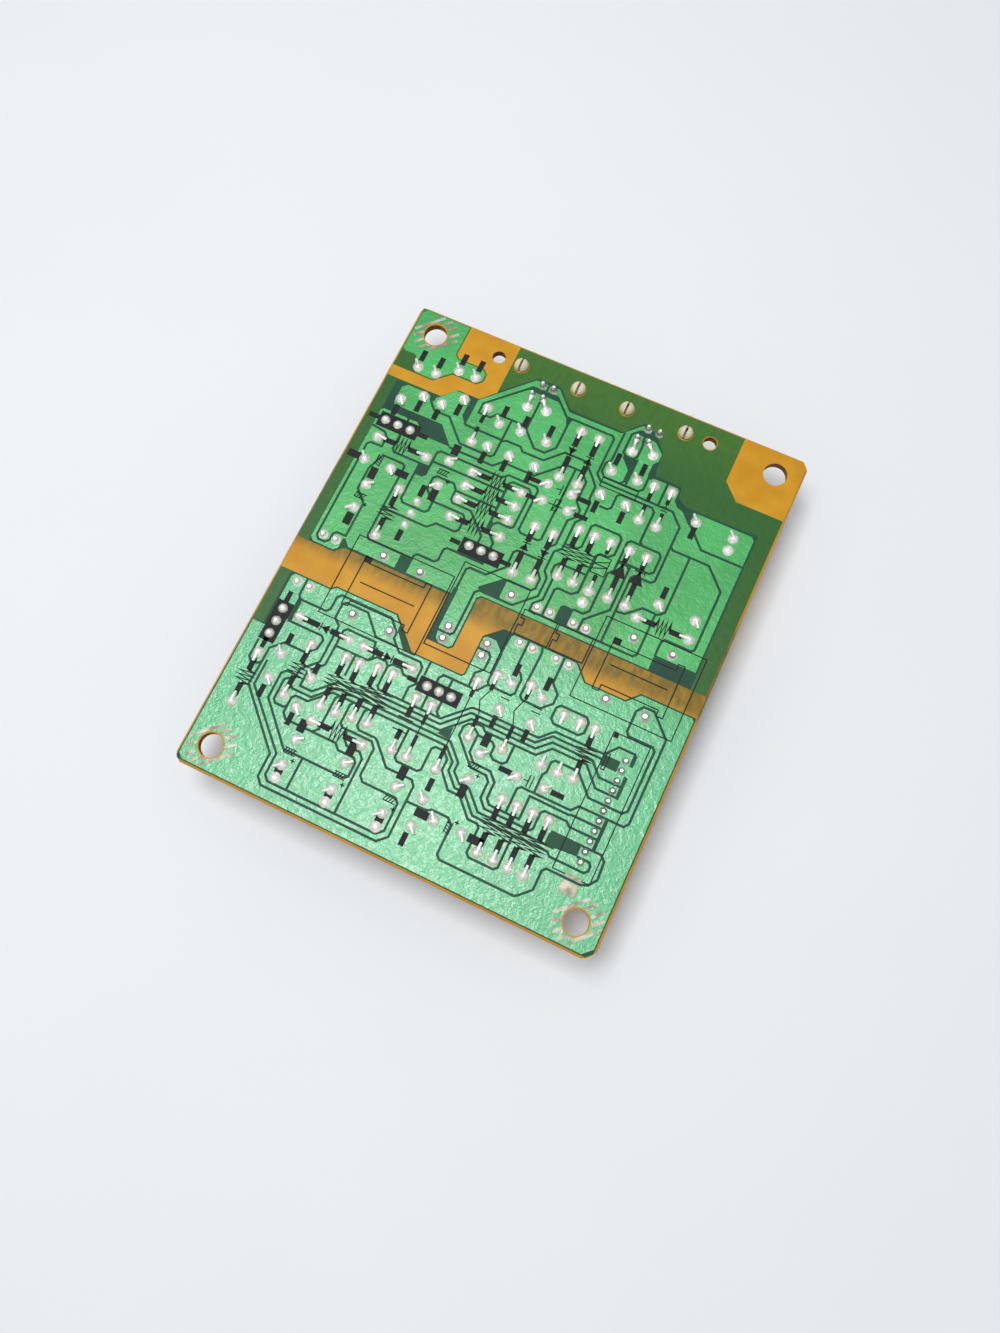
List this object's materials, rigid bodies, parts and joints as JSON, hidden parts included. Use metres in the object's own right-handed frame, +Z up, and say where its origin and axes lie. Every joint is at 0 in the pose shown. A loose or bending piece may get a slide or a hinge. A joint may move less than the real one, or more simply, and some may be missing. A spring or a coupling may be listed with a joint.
{
  "type": "telephone-line interface circuit board",
  "caption": "Single-sided circuit board of a fax machine's telephone-line interface, lying solder side up on its jacks, transformers and capacitors.",
  "frame": {"origin": "centre of the part's outline in plan, at the height of the surface it stands on", "axes": "+Z up through the solder side, +Y towards the edge with the modular jacks, +X to the right seen from the solder side"},
  "size_m": [0.0848, 0.105, 0.0152],
  "materials": {
    "laminate": "satin",
    "copper": "satin",
    "mask_dark": "gloss",
    "mask_light": "gloss",
    "solder": "bright",
    "jack_plastic": "satin",
    "contact_metal": "bright",
    "tinned_wire": "satin",
    "core_steel": "matte",
    "black_plastic": "satin",
    "winding_tape": "satin",
    "relay_plastic": "satin",
    "opto_plastic": "matte",
    "resistor_paint": "satin",
    "band_ink": "satin",
    "diode_glass": "gloss",
    "white_ceramic": "gloss",
    "ferrite": "matte",
    "disc_coating": "satin",
    "varistor_coating": "satin",
    "film_box": "satin",
    "line_box": "satin",
    "can_aluminium": "satin",
    "sleeve": "gloss",
    "rubber": "matte",
    "legend": "satin"
  },
  "bodies": {
    "root": {"laminate": "laminate", "copper_lands": "copper", "mask_dark": "mask_dark", "mask_lands": "mask_light", "tinned_stripes": "solder", "joints_axial": "solder", "joints_radial": "solder", "joints_semis": "solder", "joints_pins": "solder", "jack_housing_1": "jack_plastic", "jack_housing_2": "jack_plastic", "jack_contacts": "contact_metal", "header_shell": "jack_plastic", "header_pins": "tinned_wire", "t1_core": "core_steel", "t1_bobbin": "black_plastic", "t1_winding": "winding_tape", "t2_core": "core_steel", "t2_bobbin": "black_plastic", "t2_winding": "winding_tape", "transformer_pins": "tinned_wire", "relay_case": "relay_plastic", "relay_base": "black_plastic", "relay_pins": "tinned_wire", "optocoupler_bodies": "opto_plastic", "optocoupler_leads": "tinned_wire", "transistor_bodies": "black_plastic", "transistor_leads": "tinned_wire", "resistor_bodies": "resistor_paint", "resistor_leads": "tinned_wire", "rectifier_bodies": "black_plastic", "rectifier_bands": "band_ink", "diode_leads": "tinned_wire", "glass_diodes": "diode_glass", "jumper_wires": "tinned_wire", "surge_absorber": "white_ceramic", "ferrite_beads": "ferrite", "bead_leads": "tinned_wire", "ceramic_discs": "disc_coating", "varistor_disc": "varistor_coating", "film_capacitors": "film_box", "line_capacitors": "line_box", "disc_leads": "tinned_wire", "film_leads": "tinned_wire", "electrolytic_cans": "can_aluminium", "electrolytic_sleeves": "sleeve", "electrolytic_bungs": "rubber", "electrolytic_leads": "tinned_wire"}
  },
  "joints": []
}
